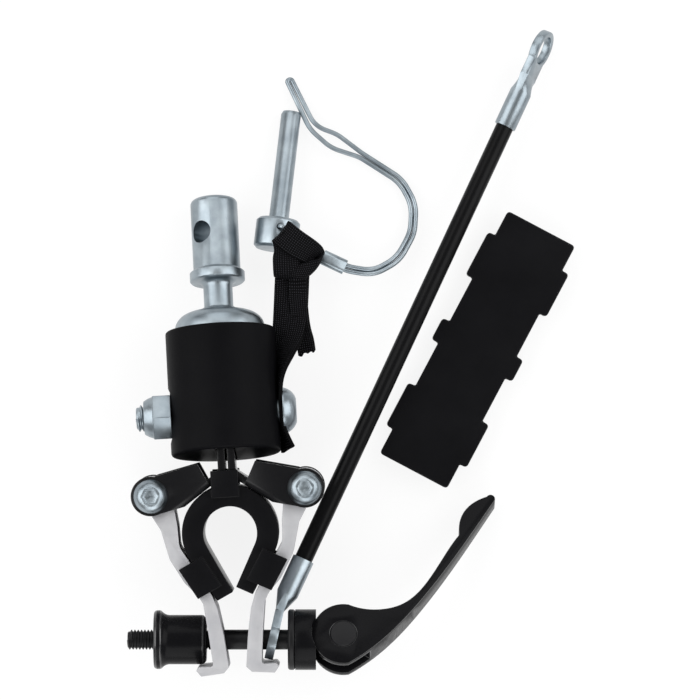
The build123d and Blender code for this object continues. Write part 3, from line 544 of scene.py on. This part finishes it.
crossRoute = [  # folded there, it comes back over the knot, rounds the wire on the right and goes behind
    ((19.9, 89.3, -3.0), (0.68, 0.73, 0.0)), ((20.6, 88.6, -1.9), (0.66, 0.75, 0.0)),
    ((24.2, 85.4, -1.9), (0.6, 0.8, 0.0)), ((28.2, 82.8, -3.4), (0.68, 0.73, 0.0), 0.92),
    ((30.6, 80.8, -7.4), (0.75, 0.66, 0.0), 0.8), ((29.6, 79.4, -11.6), (0.75, 0.66, 0.0), 0.75),
    ((26.6, 79.2, -13.4), (0.75, 0.66, 0.0), 0.75),
]
tuckRoute = [  # the end that leaves the knot's right side and tucks under the crossing wrap
    ((30.6, 80.6, -9.4), (0.6, 0.8, 0.0), 0.8), ((30.0, 78.6, -5.6), (0.55, 0.83, 0.0), 0.95),
    ((27.0, 77.2, -4.0), (0.45, 0.89, 0.0)), ((23.9, 77.0, -4.4), (0.35, 0.93, 0.0), 0.7),
    ((21.8, 77.4, -6.4), (0.3, 0.95, 0.0), 0.5),
]
strap, strapLength = ribbonAlong("webbingStrap", strapRoute, webbing["width"], webbing["thickness"], crown=0.3)
tail, tailLength = ribbonAlong("webbingTail", tailRoute, webbing["tailWidth"], webbing["tailThickness"],
                               rows=60, crown=0.3, frayed=1.3)
ribbonAlong("knotRise", riseRoute, webbing["wrapWidth"], webbing["thickness"], rows=60, crown=0.5)
ribbonAlong("knotCross", crossRoute, webbing["wrapWidth"], webbing["thickness"], rows=70, crown=0.6)
ribbonAlong("knotTuck", tuckRoute, webbing["tuckWidth"], webbing["thickness"], rows=60, crown=0.6)

knot = {"centre": Vector((24.6, 81.6, -9.6)), "size": Vector((6.0, 6.8, 5.4)), "turn": 12.0, "weaveSize": (3.6, 1.9)}
clearSelection()
bpy.ops.mesh.primitive_uv_sphere_add(segments=40, ring_count=24, radius=1.0)
knotCore = bpy.context.object
knotCore.name = "knotCore"
for vertex in knotCore.data.vertices:  # bunched tape: soft ridges that run round the ball
    p = vertex.co.normalized()
    ridge = 1.0 + 0.06 * math.sin(7.0 * p.x + 5.0 * p.y) + 0.04 * math.sin(11.0 * p.y - 6.0 * p.z + 1.3)
    vertex.co = p * knot["size"] * ridge * mm
for loop in knotCore.data.uv_layers[0].data:
    loop.uv = (loop.uv[0] * knot["weaveSize"][0], loop.uv[1] * knot["weaveSize"][1])
knotCore.data.uv_layers[0].name = "UVMap"
knotCore.data.transform(Matrix.Translation(knot["centre"] * mm)
                        @ Matrix.Rotation(math.radians(knot["turn"]), 4, "Z"))
applyModifier(knotCore, "SUBSURF", levels=1, render_levels=1)
smoothFaces(knotCore, 60)
tieOn(knotCore)
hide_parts("lanyard")
print("lanyard tied, strap", round(strapLength / mm, 1), "mm, tail", round(tailLength / mm, 1), "mm")


# stage, light and camera
stage = {"centre": Vector((0.04, 0.05, 0.0)), "half": 1.6, "gap": 0.2, "glowShare": 0.86, "skyStrength": 0.30}
clearSelection()
floorPlace = (stage["centre"].x, stage["centre"].y, cadBox[0][2] - stage["gap"] * mm)
bpy.ops.mesh.primitive_plane_add(size=2 * stage["half"], location=floorPlace)
floor = bpy.context.object
floor.name = "paperFloor"
# lit as paper for the object's bounce and shadow, and mostly glowing white where it is seen or mirrored
paper, paperTree, paperShader = startMaterial("whitePaper")
setSockets(paperShader, Base_Color=linearColour("#F4F4F4"), Roughness=0.9)
glow = addNode(paperTree, "ShaderNodeEmission", Color=(1, 1, 1, 1), Strength=1.0)
rays = addNode(paperTree, "ShaderNodeLightPath").outputs
seen = addNode(paperTree, "ShaderNodeMath", {0: rays["Is Camera Ray"], 1: rays["Is Glossy Ray"]},
               operation="MAXIMUM")
seenAll = addNode(paperTree, "ShaderNodeMath", {0: seen.outputs[0], 1: rays["Is Transmission Ray"]},
                  operation="MAXIMUM")
share = addNode(paperTree, "ShaderNodeMath", {0: seenAll.outputs[0]}, operation="MULTIPLY")
share.inputs[1].default_value = stage["glowShare"]
mixer = addNode(paperTree, "ShaderNodeMixShader",
                {0: share.outputs[0], 1: paperShader.outputs[0], 2: glow.outputs[0]})
paperTree.links.new(mixer.outputs[0], paperTree.nodes["Material Output"].inputs["Surface"])
floor.data.materials.append(paper)

world = bpy.data.worlds.new("studio")
bpy.context.scene.world = world
world.use_nodes = True
sky = world.node_tree.nodes["Background"]
setSockets(sky, Color=(1, 1, 1, 1), Strength=stage["skyStrength"])

lamps = [  # name, place, size, watts
    ("leftBox", (-0.62, 0.12, 0.52), 0.90, 6.0),
    ("rightBox", (0.70, 0.16, 0.56), 0.90, 6.0),
    ("frontBox", (0.06, -0.70, 0.40), 0.80, 4.5),
    ("backBox", (0.00, 0.80, 0.50), 0.80, 3.0),
]
for name, place, size, watts in lamps:
    lamp = bpy.data.lights.new(name, "AREA")
    lamp.size = size
    lamp.energy = watts
    holder = bpy.data.objects.new(name, lamp)
    holder.location = place
    holder.rotation_euler = (stage["centre"] - Vector(place)).to_track_quat("-Z", "Y").to_euler()
    bpy.context.scene.collection.objects.link(holder)

shot = {"x": 38.7, "y": 52.5, "height": 1600.0, "width": 210.0, "roll": 3.2}
lens = bpy.data.cameras.new("shot")
lens.sensor_fit = "HORIZONTAL"
lens.angle = 2 * math.atan(shot["width"] / 2 / shot["height"])
lens.clip_start = 0.01
camera = bpy.data.objects.new("shot", lens)
camera.location = (shot["x"] * mm, shot["y"] * mm, shot["height"] * mm)
camera.rotation_euler = (0, 0, -math.radians(shot["roll"]))
bpy.context.scene.collection.objects.link(camera)
bpy.context.scene.camera = camera
bpy.context.scene.view_settings.view_transform = "Standard"
print("stage set")
